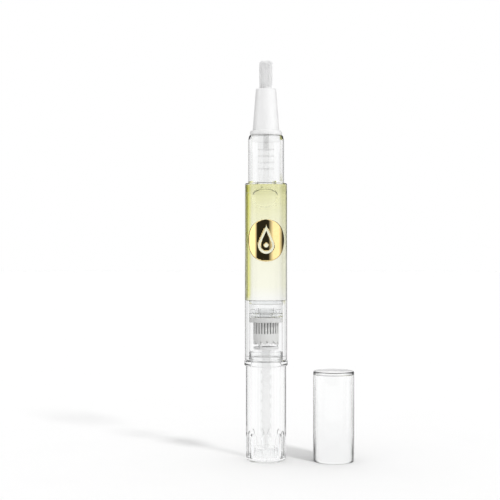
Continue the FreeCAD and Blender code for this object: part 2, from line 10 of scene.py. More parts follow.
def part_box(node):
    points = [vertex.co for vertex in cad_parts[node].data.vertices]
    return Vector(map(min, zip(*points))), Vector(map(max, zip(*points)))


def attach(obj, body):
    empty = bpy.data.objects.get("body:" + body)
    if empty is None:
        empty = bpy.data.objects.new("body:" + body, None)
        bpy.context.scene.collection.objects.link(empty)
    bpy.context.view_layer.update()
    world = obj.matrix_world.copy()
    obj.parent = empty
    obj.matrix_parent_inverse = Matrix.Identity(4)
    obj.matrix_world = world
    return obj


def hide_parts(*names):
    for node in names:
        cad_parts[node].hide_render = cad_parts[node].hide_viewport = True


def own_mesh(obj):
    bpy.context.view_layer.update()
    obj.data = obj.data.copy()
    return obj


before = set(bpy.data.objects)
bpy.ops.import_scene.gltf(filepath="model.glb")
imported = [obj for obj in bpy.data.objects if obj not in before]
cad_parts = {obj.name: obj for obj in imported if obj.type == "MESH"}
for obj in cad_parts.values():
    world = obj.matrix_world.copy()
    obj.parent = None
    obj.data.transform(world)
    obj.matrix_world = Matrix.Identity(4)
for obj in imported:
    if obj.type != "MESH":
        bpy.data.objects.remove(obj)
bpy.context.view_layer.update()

# Knob: clear cup of moulded plastic that is twisted to push the oil out.
# It has grip flutes with arched tops at its foot, a collar that the barrel sits over,
# and a spigot with a bead that snaps into the barrel.
MM = 0.001
ARC_STEPS = 5
SHARP_ANGLE = math.radians(32)
on_axis = 0.001 * MM


def rounded(outline):
    """The outline with each corner that has a third number turned into an arc of that radius."""
    points = []
    for index, (radius, height, *arc) in enumerate(outline):
        corner = Vector((radius, height))
        if not arc:
            points.append(corner)
            continue
        back = (Vector(outline[index - 1][:2]) - corner).normalized()
        ahead = (Vector(outline[(index + 1) % len(outline)][:2]) - corner).normalized()
        half_angle = back.angle(ahead) / 2
        centre = corner + (back + ahead).normalized() * arc[0] / math.sin(half_angle)
        start = corner + back * arc[0] / math.tan(half_angle) - centre
        end = corner + ahead * arc[0] / math.tan(half_angle) - centre
        sweep = math.atan2(start.x * end.y - start.y * end.x, start.dot(end))
        for step in range(ARC_STEPS + 1):
            points.append(centre + Matrix.Rotation(sweep * step / ARC_STEPS, 2) @ start)
    return points


def turned_shell(mesh, outline, segments, carve=None):
    """Add the closed shell that an outline of (radius, height) makes when it is turned about Z."""
    rings = []
    for radius, height in rounded(outline):
        if radius < on_axis:
            rings.append([mesh.verts.new((0, 0, height))] * segments)
            continue
        ring = []
        for step in range(segments):
            angle = math.tau * step / segments
            reach = carve(radius, height, angle) if carve else radius
            ring.append(mesh.verts.new((reach * math.cos(angle), reach * math.sin(angle), height)))
        rings.append(ring)
    faces = []
    for ring, above in zip(rings, rings[1:] + rings[:1]):
        for step in range(segments):
            after = (step + 1) % segments
            corners = dict.fromkeys((ring[step], ring[after], above[after], above[step]))
            if len(corners) > 2:
                faces.append(mesh.faces.new(list(corners)))
    bmesh.ops.recalc_face_normals(mesh, faces=faces)


def as_piece(name, mesh, material, smooth=True):
    """A scene object from a mesh that is being edited, with soft shading over all but sharp edges."""
    data = bpy.data.meshes.new(name)
    mesh.to_mesh(data)
    mesh.free()
    if smooth:
        data.shade_smooth()
        data.set_sharp_from_angle(angle=SHARP_ANGLE)
    data.materials.append(material)
    piece = bpy.data.objects.new(name, data)
    bpy.context.scene.collection.objects.link(piece)
    return piece


def turned(name, outline, material, segments=160, carve=None):
    """A piece made by turning one outline about the pen's axis."""
    mesh = bmesh.new()
    turned_shell(mesh, outline, segments, carve)
    return as_piece(name, mesh, material)


class Wire:
    """A value in a node tree. Sums and products of wires and numbers add Math nodes to the tree."""

    def __init__(self, tree, socket=None):
        self.tree = tree
        self.socket = socket

    def node(self, kind, settings=None, inputs=None, output=0):
        """Add a node with its settings, set or link its sockets, and give one of its outputs."""
        made = self.tree.nodes.new(kind)
        for name, value in (settings or {}).items():
            setattr(made, name, value)
        for name, value in (inputs or {}).items():
            if isinstance(value, Wire):
                self.tree.links.new(value.socket, made.inputs[name])
            else:
                made.inputs[name].default_value = value
        return Wire(self.tree, made.outputs[output]) if output is not None else None

    def math(self, operation, *values):
        return self.node("ShaderNodeMath", {"operation": operation}, dict(enumerate(values)))

    def limited(self):
        return self.node("ShaderNodeClamp", inputs={"Value": self})

    def blend(self, low, high):
        """The colour between low and high that this value picks."""
        sockets = {"Factor": self, 6: low, 7: high}
        return self.node("ShaderNodeMix", {"data_type": "RGBA"}, sockets, output=2)

    def __add__(self, other):
        return self.math("ADD", self, other)

    def __sub__(self, other):
        return self.math("SUBTRACT", self, other)

    def __rsub__(self, other):
        return self.math("SUBTRACT", other, self)

    def __mul__(self, other):
        return self.math("MULTIPLY", self, other)

    def __truediv__(self, other):
        return self.math("DIVIDE", self, other)

    def __abs__(self):
        return self.math("ABSOLUTE", self)

    __radd__ = __add__
    __rmul__ = __mul__


def finish(name, sockets_of):
    """A material with one Principled shader, whose sockets come from a function of its node tree."""
    material = bpy.data.materials.new(name)
    material.use_nodes = True
    tree = material.node_tree
    tree.nodes.clear()
    start = Wire(tree)
    shader = start.node("ShaderNodeBsdfPrincipled", inputs=sockets_of(start))
    start.node("ShaderNodeOutputMaterial", inputs={"Surface": shader}, output=None)
    return material


def grain(wire, scale, detail=3.0, stretch=(1.0, 1.0, 1.0)):
    """Soft noise fixed to the object, with so many grains to the metre."""
    place = wire.node("ShaderNodeTexCoord", output="Object")
    stretched = wire.node("ShaderNodeMapping", inputs={"Vector": place, "Scale": stretch})
    return wire.node("ShaderNodeTexNoise", inputs={"Vector": stretched, "Scale": scale, "Detail": detail})


def bumped(wire, height, distance, strength=0.3):
    sockets = {"Height": height, "Distance": distance, "Strength": strength}
    return wire.node("ShaderNodeBump", inputs=sockets)


def part_of(wire, vector, axis):
    """One coordinate of a vector."""
    return wire.node("ShaderNodeSeparateXYZ", inputs={"Vector": vector}, output=axis)


CLEAR_TINT = (0.995, 0.997, 0.997, 1.0)
ACRYLIC_IOR = 1.44
RIM_IOR = 2.4
RIM_START = 0.5
RIM_RISE = 0.25


def clear_sockets(wire):
    flow = grain(wire, 220.0, stretch=(1.0, 1.0, 0.25))
    edge_on = wire.node("ShaderNodeLayerWeight", inputs={"Blend": 0.5}, output="Facing")
    level = abs(part_of(wire, wire.node("ShaderNodeNewGeometry", output="Normal"), "Z"))
    return {
        "Base Color": CLEAR_TINT,
        "Roughness": 0.004 + 0.012 * flow,
        "IOR": ACRYLIC_IOR,
        "Transmission Weight": 1.0,
        "Coat Weight": ((edge_on - RIM_START) / RIM_RISE).limited() * (1 - level),
        "Coat IOR": RIM_IOR,
        "Coat Roughness": 0.01,
        "Normal": bumped(wire, flow, 0.002 * MM, 0.05),
    }


clear_plastic = finish("clear_plastic", clear_sockets)

collar_radius, knob_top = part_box("knob")[1].x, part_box("knob")[1].z
knob_radius = collar_radius - 0.5 * MM
knob_bore = knob_radius - 1.45 * MM
knob_floor = 1.0 * MM
foot_round = 0.7 * MM
grip_height = 29.2 * MM
collar_top = grip_height + 1.5 * MM
collar_round = 0.3 * MM
floor_round = 0.4 * MM
spigot_radius = 5.19 * MM
bead_radius = spigot_radius + 0.15 * MM
bead_base = 31.6 * MM
bead_top = bead_base + 0.6 * MM
boss_bore = 2.69 * MM
boss_radius = boss_bore + 0.7 * MM
boss_top = knob_floor + 3.0 * MM
edge_break = 0.12 * MM

FLUTES = 9
FLUTE_ROWS = 84
flute_base = 1.1 * MM
flute_shank = flute_base + 5.6 * MM
flute_cutter = 7.0 * MM
flute_depth = 0.35 * MM
flute_shoulder = 0.2 * MM
flute_step = 0.1 * MM
cutter_axis = knob_radius - flute_depth + flute_cutter
flute_rows = [flute_base + row * flute_step for row in range(FLUTE_ROWS)]
hair = 0.01 * MM


def fluted(radius, height, angle):
    """The knob's radius where an upright round-nosed cutter has run down its side."""
    if height < flute_base - hair / 2 or radius < knob_radius - hair:
        return radius
    nose = max(0.0, height - flute_shank)
    if nose > flute_cutter:
        return radius
    cutter_radius = math.sqrt(flute_cutter ** 2 - nose ** 2)
    pitch = math.tau / FLUTES
    off_centre = (angle + math.pi / 2 + pitch / 2) % pitch - pitch / 2
    room = cutter_radius ** 2 - (cutter_axis * math.sin(off_centre)) ** 2
    if room < 0:
        return radius
    cut = cutter_axis * math.cos(off_centre) - math.sqrt(room)
    return min(radius, cut - min(flute_shoulder, 2 * (radius - cut)))


knob = turned("clear_knob", [
    (0, 0),
    (knob_radius, 0, foot_round),
    (knob_radius, flute_base - hair),
    *[(knob_radius, row) for row in flute_rows],
    (knob_radius, grip_height),
    (collar_radius, grip_height, collar_round),
    (collar_radius, collar_top, edge_break),
    (spigot_radius, collar_top),
    (spigot_radius, bead_base),
    (bead_radius, bead_base),
    (spigot_radius, bead_top),
    (spigot_radius, knob_top, edge_break),
    (knob_bore, knob_top, edge_break),
    (knob_bore, knob_floor, floor_round),
    (boss_radius, knob_floor),
    (boss_radius, boss_top, edge_break),
    (boss_bore, boss_top, edge_break),
    (boss_bore, knob_floor),
    (0, knob_floor),
], clear_plastic, segments=360, carve=fluted)
knob.visible_shadow = False
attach(knob, "knob_body")
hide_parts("knob")

# Drive sleeve: narrow tube that is keyed to the knob's floor and turns the rod.
# It is moulded in uncoloured plastic and hardly shows inside the clear knob.
NATURAL_TINT = (0.97, 0.975, 0.975, 1.0)


def natural_sockets(wire):
    flow = grain(wire, 500.0)
    return {
        "Base Color": NATURAL_TINT,
        "Roughness": 0.30 + 0.10 * flow,
        "Alpha": 0.05 + 0.05 * flow,
        "Normal": bumped(wire, flow, 0.02 * MM),
    }


def dress(node, material):
    """Give a solid that comes from the frame its finish."""
    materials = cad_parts[node].data.materials
    materials.clear()
    materials.append(material)


natural_plastic = finish("natural_plastic", natural_sockets)
dress("drive_sleeve", natural_plastic)

# Ratchet ring: ring with sprung pawls on top of the sleeve, in opal plastic.
# Its pawls click under the teeth of the nut, so the knob turns one way only.
OPAL_LOW = (0.93, 0.93, 0.93, 1.0)
OPAL_HIGH = (0.98, 0.98, 0.98, 1.0)


def opal_sockets(wire):
    flow = grain(wire, 600.0)
    return {
        "Base Color": flow.blend(OPAL_LOW, OPAL_HIGH),
        "Roughness": 0.30 + 0.10 * flow,
        "Normal": bumped(wire, flow, 0.02 * MM),
    }


dress("ratchet_ring", finish("opal_plastic", opal_sockets))

# Barrel: extruded clear tube that shows the oil, with a chamfered front rim
# and a groove inside its foot for the bead of the knob.
barrel_foot, barrel_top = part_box("barrel")[0].z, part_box("barrel")[1].z
barrel_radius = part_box("barrel")[1].x
bore = barrel_radius - 1.25 * MM
front_chamfer = 0.15 * MM
groove_radius = bore + 0.15 * MM
groove_play = 0.06 * MM
groove_base = bead_base - groove_play

barrel = turned("clear_barrel", [
    (bore, barrel_foot, edge_break),
    (barrel_radius, barrel_foot, edge_break),
    (barrel_radius, barrel_top - front_chamfer),
    (barrel_radius - front_chamfer, barrel_top),
    (bore, barrel_top),
    (bore, bead_top + groove_play),
    (groove_radius, bead_top),
    (groove_radius, groove_base),
    (bore, groove_base),
], clear_plastic)
barrel.visible_shadow = False
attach(barrel, "barrel_body")
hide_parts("barrel")

# Drive nut: white moulding whose flange is pressed into the barrel. Below the flange it has a ribbed body,
# a plain band and ratchet teeth, and the rod climbs through its thread. Its grooves between the ribs get
# painted shade.
nut_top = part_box("drive_nut")[1].z
rib_top = nut_top - 1.4 * MM
rib_height = 3.5 * MM
rib_middle = rib_top - rib_height / 2
rib_end = 0.03 * MM
rib_root = 3.56 * MM
rib_depth = 0.36 * MM
WHITE_LOW = (0.84, 0.84, 0.83, 1.0)
WHITE_HIGH = (0.92, 0.92, 0.91, 1.0)
PAINTED_GROOVE_SHADE = (0.22, 0.22, 0.22, 1.0)


def own(wire, axis):
    """One coordinate of the place on the object that is being shaded."""
    return part_of(wire, wire.node("ShaderNodeTexCoord", output="Object"), axis)


def white_sockets(wire):
    flow = grain(wire, 900.0)
    place = wire.node("ShaderNodeTexCoord", output="Object")
    across = wire.node("ShaderNodeVectorMath", {"operation": "MULTIPLY"}, {0: place, 1: (1.0, 1.0, 0.0)})
    radial = wire.node("ShaderNodeVectorMath", {"operation": "LENGTH"}, {0: across}, output="Value")
    # Painted shade: the colour darkens to a dark grey towards the root of each groove between the ribs.
    in_groove = 1 - ((radial - rib_root) / rib_depth).limited()
    off_middle = abs(own(wire, "Z") - rib_middle)
    in_ribs = off_middle.math("LESS_THAN", off_middle, rib_height / 2 - rib_end)
    plain = flow.blend(WHITE_LOW, WHITE_HIGH)
    return {
        "Base Color": (in_groove * in_ribs).blend(plain, PAINTED_GROOVE_SHADE),
        "Roughness": 0.32 + 0.12 * flow,
        "Normal": bumped(wire, flow, 0.02 * MM),
    }


dress("drive_nut", finish("white_plastic", white_sockets))

# Screw rod: threaded on two sides of a flattened shank, in uncoloured plastic like the sleeve.
# Its round head turns in the piston's socket.
ROD_TINT = (0.95, 0.95, 0.95, 1.0)


def rod_sockets(wire):
    flow = grain(wire, 700.0)
    return {
        "Base Color": ROD_TINT,
        "Roughness": 0.25 + 0.10 * flow,
        "Alpha": 0.10 + 0.08 * flow,
        "Normal": bumped(wire, flow, 0.02 * MM),
    }


dress("screw_rod", finish("rod_plastic", rod_sockets))

# Piston: soft clear plunger that pushes the oil. Its crown is dished, its two lips seal on the bore,
# and the rod's head turns in the socket below.
piston_base, piston_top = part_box("piston")[0].z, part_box("piston")[1].z
piston_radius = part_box("piston")[1].x
piston_lip = 1.1 * MM
piston_waist = piston_radius - 0.25 * MM
piston_rim = piston_radius - 0.6 * MM
dish_floor = piston_top - 1.5 * MM
socket_radius = 2.2 * MM
socket_wall = 1.2 * MM
socket_mouth = 1.6 * MM
socket_base = piston_base + 0.5 * MM
socket_top = piston_base + 2.7 * MM
hollow_top = piston_base + 2.2 * MM
skirt_inside = piston_radius - 0.9 * MM
lip_round = 0.25 * MM
SOFT_TINT = (0.97, 0.975, 0.975, 1.0)


def soft_sockets(wire):
    flow = grain(wire, 500.0)
    return {
        "Base Color": SOFT_TINT,
        "Roughness": 0.01 + 0.02 * flow,
        "IOR": ACRYLIC_IOR,
        "Transmission Weight": 1.0,
        "Normal": bumped(wire, flow, 0.01 * MM, 0.1),
    }


piston = turned("piston_plunger", [
    (0, socket_top),
    (socket_radius, socket_top),
    (socket_radius, socket_base),
    (socket_mouth, socket_base),
    (socket_mouth, piston_base),
    (socket_radius + socket_wall, piston_base),
    (socket_radius + socket_wall, hollow_top),
    (skirt_inside, hollow_top),
    (skirt_inside, piston_base),
    (piston_radius, piston_base, lip_round),
    (piston_radius, piston_base + piston_lip, lip_round),
    (piston_waist, piston_base + piston_lip),
    (piston_waist, piston_top - piston_lip),
    (piston_radius, piston_top - piston_lip, lip_round),
    (piston_radius, piston_top, lip_round),
    (piston_rim, piston_top),
    (0, dish_floor),
], finish("soft_clear_plastic", soft_sockets))
piston.visible_shadow = False
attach(piston, "piston_body")
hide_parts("piston")

# Oil: pale yellow nail oil that fills the barrel from the piston's dish to the floor of the neck.
# It wets the wall and the piston, so its mesh reaches a little into both.
oil_base, oil_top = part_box("oil_fill")[0].z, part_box("oil_fill")[1].z
wetting = 0.04 * MM
oil_radius = bore + wetting
oil_depth = oil_top - oil_base
oil_fade = 6.0 * MM
OIL_IOR = 1.44
OIL_LOW = (0.985, 0.98, 0.84, 1.0)
OIL_HIGH = (0.86, 0.845, 0.44, 1.0)


def oil_sockets(wire):
    swirl = grain(wire, 120.0, stretch=(1.0, 1.0, 0.3))
    height = own(wire, "Z") - oil_base
    fullness = (height / oil_fade).limited()
    rise = (height / oil_depth).limited()
    richness = rise * rise * (0.8 + 0.4 * swirl)
    return {
        "Base Color": fullness.blend(CLEAR_TINT, richness.limited().blend(OIL_LOW, OIL_HIGH)),
        "Roughness": 0.002 + 0.004 * swirl,
        "IOR": OIL_IOR,
        "Transmission Weight": 1.0,
    }


oil = turned("oil_in_barrel", [
    (0, oil_base - wetting),
    (piston_rim, piston_top - wetting),
    (oil_radius, piston_top - wetting),
    (oil_radius, oil_top),
    (0, oil_top),
], finish("nail_oil", oil_sockets))


def wetted_sockets(wire):
    """Where oil wets plastic, light goes straight on, because both bend it alike."""
    return {**soft_sockets(wire), "IOR": 1.0}


DISH_SLOPE = 0.9
wetted = finish("oil_on_plastic", wetted_sockets)
for piece, facing in ((piston, 1.0), (oil, -1.0)):
    piece.data.materials.append(wetted)
    for face in piece.data.polygons:
        in_dish = dish_floor - 2 * wetting < face.center.z < piston_top + wetting
        if in_dish and face.normal.z * facing > DISH_SLOPE:
            face.material_index = 1
oil.visible_shadow = False
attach(oil, "barrel_body")
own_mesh(oil)
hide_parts("oil_fill")

# Air bubbles: a large one and a small one that have risen under the neck. Their faces look inwards,
# from the oil into the air.
BUBBLE_IOR = 1.08
BUBBLES = [
    (Vector((-0.2, -0.6, 81.0)) * MM, Vector((3.0, 2.8, 3.25)) * MM),
    (Vector((-1.1, -1.5, 84.3)) * MM, Vector((0.4, 0.4, 0.35)) * MM),
]


def bubble_sockets(wire):
    return {**clear_sockets(wire), "IOR": BUBBLE_IOR, "Coat Weight": 0.0}


bubble_mesh = bmesh.new()
for centre, half_size in BUBBLES:
    place = Matrix.Translation(centre) @ Matrix.Diagonal(half_size).to_4x4()
    bmesh.ops.create_uvsphere(bubble_mesh, u_segments=64, v_segments=32, radius=1.0, matrix=place)
bmesh.ops.reverse_faces(bubble_mesh, faces=bubble_mesh.faces)
bubbles = as_piece("air_bubbles", bubble_mesh, finish("air_in_oil", bubble_sockets))
bubbles.visible_shadow = False
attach(bubbles, "barrel_body")
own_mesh(bubbles)

# Neck: clear collar whose skirt plugs the barrel. Its floor holds the brush's stem,
# and the cap pushes onto its outside.
neck_foot, neck_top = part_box("neck")[0].z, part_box("neck")[1].z
neck_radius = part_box("neck")[1].x
neck_bore = neck_radius - 1.05 * MM
neck_tip_radius = neck_radius - 0.31 * MM
neck_taper = 1.5 * MM
neck_round = 0.5 * MM
plug_radius = bore - 0.04 * MM
plug_bore = plug_radius - 0.8 * MM
neck_floor = barrel_top - 0.4 * MM
neck_floor_top = neck_floor + 1.0 * MM
stem_hole = 2.44 * MM
SKIRT_IOR = 1.02


def skirt_sockets(wire):
    return {**clear_sockets(wire), "IOR": SKIRT_IOR, "Coat Weight": 0.0}


neck = turned("clear_neck", [
    (stem_hole, neck_floor),
    (plug_radius, neck_floor),
    (plug_radius, barrel_top),
    (neck_radius, barrel_top),
    (neck_radius, neck_top - neck_taper, neck_round),
    (neck_tip_radius, neck_top, edge_break),
    (neck_bore, neck_top, edge_break),
    (neck_bore, neck_floor_top),
    (stem_hole, neck_floor_top),
], clear_plastic)
skirt = turned("neck_skirt", [
    (plug_bore, neck_foot, edge_break),
    (plug_radius, neck_foot, edge_break),
    (plug_radius, neck_floor),
    (plug_bore, neck_floor),
], finish("skirt_in_oil", skirt_sockets))
for piece in (neck, skirt):
    piece.visible_shadow = False
    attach(piece, "barrel_body")
    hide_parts("neck")

# Brush holder: one white moulding. Its ringed hollow stem and plug sit in the neck, its flange rests
# on the neck's end, and its cone grips the bristles.
holder_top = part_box("brush_holder")[1].z
stem_radius = 2.4 * MM
feed_hole = 0.94 * MM
holder_plug_radius = neck_bore - 0.04 * MM
holder_plug_base = neck_top - 2.0 * MM
flange_radius = neck_radius - 0.62 * MM
flange_top = neck_top + 1.5 * MM
cone_radius = flange_radius - 0.82 * MM
cone_tip_radius = cone_radius - 0.99 * MM
holder_round = 0.3 * MM
tuft_root = 1.95 * MM
tuft_base = holder_top - 9.5 * MM
top_ring = neck_top - 4.1 * MM
ring_pitch = 1.95 * MM
ring_tops = [top_ring - step * ring_pitch for step in (3, 2, 1, 0)]
ring_height = 0.5 * MM
ring_crest = 0.1 * MM
ring_bulge = 0.2 * MM
tuft_socket = tuft_root + 0.04 * MM
MILK_LOW = (0.79, 0.79, 0.79, 1.0)
MILK_HIGH = (0.87, 0.87, 0.87, 1.0)
STEM_ALPHA = 0.09
RING_ALPHA = 0.14
milk_depth = 0.7 * MM


def soft_band(value, centre, half_width, edge):
    """1 where a value is within half a width of a centre, falling to 0 over the edge beyond."""
    return 1 - ((abs(value - centre) - half_width) / edge).limited()


def milky_sockets(wire):
    flow = grain(wire, 700.0, stretch=(1.0, 1.0, 0.4))
    height = own(wire, "Z")
    rings = sum(soft_band(height, top - ring_height / 2, ring_crest, ring_height / 2) for top in ring_tops)
    solid = ((height - neck_top) / milk_depth + 1).limited()
    return {
        "Base Color": flow.blend(MILK_LOW, MILK_HIGH),
        "Roughness": 0.28 + 0.10 * flow,
        "Alpha": (STEM_ALPHA + RING_ALPHA * rings + solid).limited(),
        "Normal": bumped(wire, flow, 0.02 * MM),
    }


stem_side = []
for ring_top in ring_tops:
    stem_side += [
        (stem_radius, ring_top - ring_height),
        (stem_radius + ring_bulge, ring_top - ring_height / 2, edge_break),
        (stem_radius, ring_top),
    ]
holder = turned("brush_holder_moulding", [
    (feed_hole, neck_floor),
    (stem_radius, neck_floor),
    *stem_side,
    (stem_radius, holder_plug_base),
    (holder_plug_radius, holder_plug_base),
    (holder_plug_radius, neck_top),
    (flange_radius, neck_top, edge_break),
    (flange_radius, flange_top, holder_round),
    (cone_radius, flange_top, holder_round),
    (cone_tip_radius, holder_top, holder_round),
    (tuft_socket, holder_top, edge_break),
    (tuft_socket, tuft_base),
    (feed_hole, tuft_base),
], finish("milky_plastic", milky_sockets))
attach(holder, "barrel_body")
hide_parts("brush_holder")

# Feed tube: thin capillary that leads the oil up the stem and ends among the bristles.
# It is drawn from the same uncoloured plastic as the sleeve.
dress("feed_tube", natural_plastic)

# Bristles: fine nylon filaments, bound at the root and gathered in the cone.
# They spread a little where they leave it, and are trimmed to a blunt soft end.
tuft_radius, tuft_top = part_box("bristle_tuft")[1].x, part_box("bristle_tuft")[1].z
FILAMENTS = 420
FILAMENT_SIDES = 5
FILAMENT_STEPS = 6
TIP_GIRTH = 0.6
TIP_INSET = 0.12
TIP_TWIST = 0.05
TIP_UNEVEN = 0.25
filament_radius = 0.075 * MM
filament_foot = tuft_base + 0.1 * MM
spread_start = 0.5 * MM
spread_length = 2.0 * MM
tuft_end_round = 0.9 * MM
NYLON_LOW = (0.94, 0.94, 0.94, 1.0)
NYLON_HIGH = (0.99, 0.99, 0.99, 1.0)
golden_angle = math.pi * (3 - math.sqrt(5))
chance = random.Random(11)


def nylon_sockets(wire):
    strand = grain(wire, 2600.0, stretch=(1.0, 1.0, 0.05))
    return {
        "Base Color": strand.blend(NYLON_LOW, NYLON_HIGH),
        "Roughness": 0.3 + 0.2 * strand,
        "Subsurface Weight": 0.3,
        "Subsurface Radius": (1.0, 1.0, 1.0),
        "Subsurface Scale": 0.3 * MM,
    }


tuft_mesh = bmesh.new()
for count in range(FILAMENTS):
    share = math.sqrt((count + 0.5) / FILAMENTS)
    angle = count * golden_angle
    root_reach = share * (tuft_root - filament_radius)
    tip_reach = share * (tuft_radius - filament_radius - chance.uniform(0.0, TIP_INSET) * MM)
    tip_turn = angle + chance.uniform(-TIP_TWIST, TIP_TWIST)
    corner = max(0.0, tip_reach - (tuft_radius - tuft_end_round)) / tuft_end_round
    fall = tuft_end_round * (1 - math.sqrt(max(0.0, 1 - corner ** 2)))
    tip_height = tuft_top - fall - chance.uniform(0.0, TIP_UNEVEN) * MM
    rings = []
    for step in range(FILAMENT_STEPS + 1):
        rise = step / FILAMENT_STEPS
        height = filament_foot + rise * (tip_height - filament_foot)
        spread = min(1.0, max(0.0, (height - holder_top + spread_start) / spread_length))
        reach = root_reach + (tip_reach - root_reach) * spread
        turn = angle + (tip_turn - angle) * spread
        girth = filament_radius * (1.0 if step < FILAMENT_STEPS else TIP_GIRTH)
        centre = Vector((reach * math.cos(turn), reach * math.sin(turn), height))
        rings.append([
            tuft_mesh.verts.new(centre + girth * Vector((
                math.cos(math.tau * side / FILAMENT_SIDES), math.sin(math.tau * side / FILAMENT_SIDES), 0,
            )))
            for side in range(FILAMENT_SIDES)
        ])
    for ring, above in zip(rings, rings[1:]):
        for side in range(FILAMENT_SIDES):
            after = (side + 1) % FILAMENT_SIDES
            tuft_mesh.faces.new((ring[side], ring[after], above[after], above[side]))
    tuft_mesh.faces.new(rings[-1])
    tuft_mesh.faces.new(reversed(rings[0]))
tuft = as_piece("bristle_filaments", tuft_mesh, finish("nylon_bristle", nylon_sockets))
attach(tuft, "barrel_body")
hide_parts("bristle_tuft")

# Badge: round of gold foil stamped onto the front of the barrel.
# The line of a drop and a dot in it are left out of the foil, so the oil shows through them.
badge_low, badge_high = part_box("foil_badge")
badge_centre = (badge_low.z + badge_high.z) / 2
badge_radius = (badge_high.z - badge_low.z) / 2
foil_lift = barrel_radius + 0.02 * MM
foil_thickness = 0.05 * MM
foil_step = 0.3 * MM
drop_point = 4.5 * MM
drop_round = 2.5 * MM
drop_centre = -1.5 * MM
drop_line = 0.7 * MM
dot_radius = 0.6 * MM
POINT_INSET = 2.2
GOLD_LOW = (0.74, 0.55, 0.22, 1.0)
GOLD_HIGH = (0.86, 0.69, 0.36, 1.0)


def circle(radius, centre=0.0, count=96):
    turns = [math.tau * step / count for step in range(count)]
    return [Vector((radius * math.cos(turn), centre + radius * math.sin(turn))) for turn in turns]


def drop(inset, count=64):
    """Outline of an upright drop: a round foot whose sides run up to a point."""
    round_radius = drop_round - inset
    tip = drop_point - inset * POINT_INSET
    reach = tip - drop_centre
    open_angle = math.acos(round_radius / reach)
    start = math.pi / 2 + open_angle
    sweep = math.tau - 2 * open_angle
    points = [Vector((0, tip))]
    for step in range(count + 1):
        angle = start + sweep * step / count
        height = drop_centre + round_radius * math.sin(angle)
        points.append(Vector((round_radius * math.cos(angle), height)))
    return points


def inside(point, loop):
    """Whether a point lies inside a closed loop of points."""
    crossings = 0
    for here, after in zip(loop, loop[1:] + loop[:1]):
        if (here.y > point.y) != (after.y > point.y):
            across = here.x + (point.y - here.y) * (after.x - here.x) / (after.y - here.y)
            crossings += across > point.x
    return crossings % 2 == 1


def gold_sockets(wire):
    brush = grain(wire, 1500.0)
    return {
        "Base Color": brush.blend(GOLD_LOW, GOLD_HIGH),
        "Metallic": 1.0,
        "Roughness": 0.008 + 0.014 * brush,
        "Normal": bumped(wire, brush, 0.01 * MM, 0.1),
    }


foil_loops = [circle(badge_radius), drop(0.0), drop(drop_line), circle(dot_radius, drop_centre)]
foil_points = []
foil_edges = []
for loop in foil_loops:
    first = len(foil_points)
    foil_points += loop
    foil_edges += [(first + i, first + (i + 1) % len(loop)) for i in range(len(loop))]
grid_reach = int(badge_radius / foil_step)
for column in range(-grid_reach, grid_reach + 1):
    for row in range(-grid_reach, grid_reach + 1):
        spot = Vector((column, row)) * foil_step
        if spot.length < badge_radius - foil_step / 2:
            foil_points.append(spot)
flat_points, _, flat_faces, *_ = delaunay_2d_cdt(foil_points, foil_edges, [], 0, 1e-7)
foil_mesh = bmesh.new()
foil_verts = []
for spot in flat_points:
    angle = spot.x / barrel_radius
    foil_verts.append(foil_mesh.verts.new((
        foil_lift * math.sin(angle), -foil_lift * math.cos(angle), badge_centre + spot.y,
    )))
for face in flat_faces:
    middle = sum((flat_points[i] for i in face), Vector((0, 0))) / len(face)
    if sum(inside(middle, loop) for loop in foil_loops) % 2 == 1:
        foil_mesh.faces.new([foil_verts[i] for i in face])
bmesh.ops.delete(foil_mesh, geom=[v for v in foil_mesh.verts if not v.link_faces], context="VERTS")
badge = as_piece("gold_badge", foil_mesh, finish("gold_foil", gold_sockets))
thickness = badge.modifiers.new("foil_thickness", "SOLIDIFY")
thickness.thickness = foil_thickness
thickness.offset = 1.0
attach(badge, "barrel_body")
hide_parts("foil_badge")

# Cap: thin clear cup that pushes onto the neck. It has a flat closed top
# and a bevelled mouth, and stands mouth down beside the pen.
cap_low, cap_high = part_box("cap")
cap_centre = (cap_low + cap_high) / 2
cap_radius = (cap_high.x - cap_low.x) / 2
cap_height = cap_high.z
cap_bore = cap_radius - 0.68 * MM
cap_ceiling = cap_height - 0.9 * MM
mouth_bevel = 0.35 * MM
cap_top_round = 0.4 * MM
cap_ceiling_round = 0.3 * MM

cap = turned("clear_cap", [
    (cap_bore + mouth_bevel, 0),
    (cap_radius, 0, edge_break),
    (cap_radius, cap_height, cap_top_round),
    (0, cap_height),
    (0, cap_ceiling),
    (cap_bore, cap_ceiling, cap_ceiling_round),
    (cap_bore, 2 * mouth_bevel),
], clear_plastic)
cap.location = (cap_centre.x, cap_centre.y, 0)
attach(cap, "cap_body")
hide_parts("cap")

# Studio: white floor and backdrop, a large soft lamp at the right in front, and tall soft boxes at both
# sides that only reflections see. The camera stands level with the middle of the pen.
FLOOR_SIZE = 6.0
FLOOR_LOW = (0.97, 0.97, 0.97, 1.0)
FLOOR_HIGH = (0.99, 0.99, 0.99, 1.0)
FLOOR_GREY = 0.3
FLOOR_GREY_RISE = 40.0 * MM


def floor_sockets(wire):
    paper = grain(wire, 40.0)
    return {
        "Base Color": paper.blend(FLOOR_LOW, FLOOR_HIGH),
        "Roughness": 0.9,
        "Specular IOR Level": 0.0,
    }


